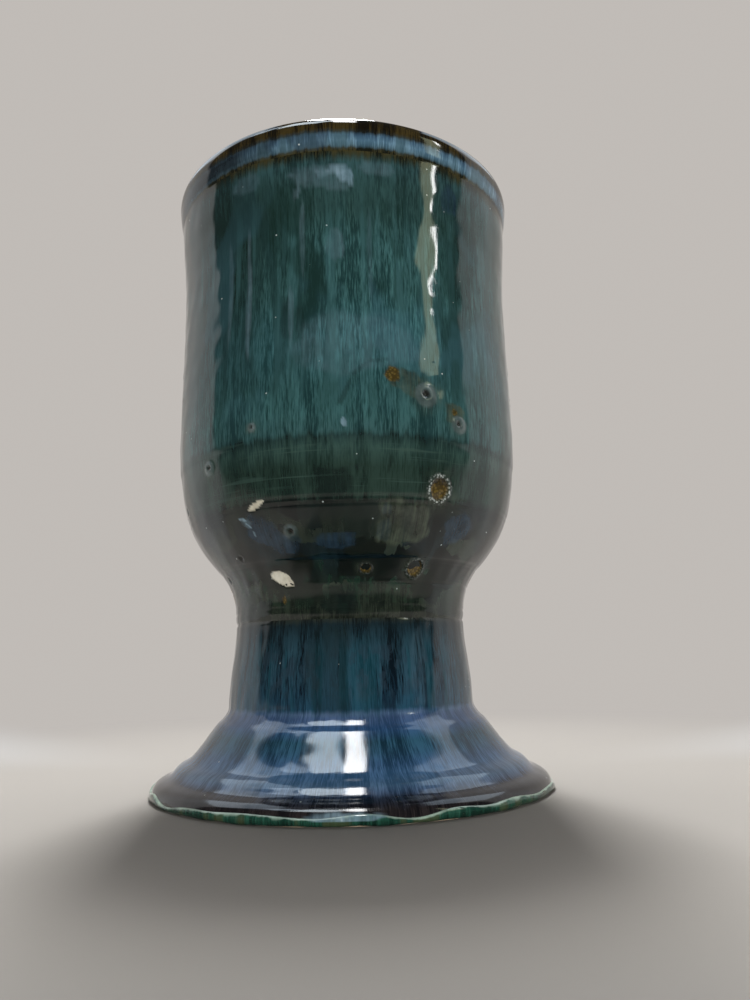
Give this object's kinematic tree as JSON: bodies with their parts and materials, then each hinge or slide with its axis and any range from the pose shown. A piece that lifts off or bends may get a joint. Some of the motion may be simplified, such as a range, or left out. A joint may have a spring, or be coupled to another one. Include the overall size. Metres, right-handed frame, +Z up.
{
  "type": "pottery goblet",
  "caption": "Wheel-thrown stoneware goblet: a deep cup with a beaded lip, luted to a hollow flared pedestal, under separate coats of glossy glaze.",
  "frame": {"origin": "middle of the bare ring that the goblet stands on, at ground height", "axes": "+Z up the axis of turning towards the lip, -Y towards the camera"},
  "size_m": [0.0952, 0.0952, 0.15],
  "materials": {
    "clay": "bare fired stoneware, matt buff-brown",
    "slip": "fired joining slip, matt",
    "teal_glaze": "glossy streaked teal-green glaze with craters and pinholes",
    "blue_glaze": "glossy streaked blue glaze, grey-violet on the foot",
    "liner_glaze": "glossy teal liner glaze",
    "iron_glaze": "glossy glaze broken to iron brown with golden flecks",
    "green_glaze": "glossy pooled emerald-green glaze"
  },
  "bodies": {
    "root": {"bowl": "clay", "pedestal": "clay", "joint_collar": "clay", "joint_slip": "slip", "bowl_glaze": "teal_glaze", "pedestal_glaze": "blue_glaze", "liner_glaze": "liner_glaze", "lip_glaze": "iron_glaze", "foot_glaze_roll": "green_glaze"}
  },
  "joints": []
}
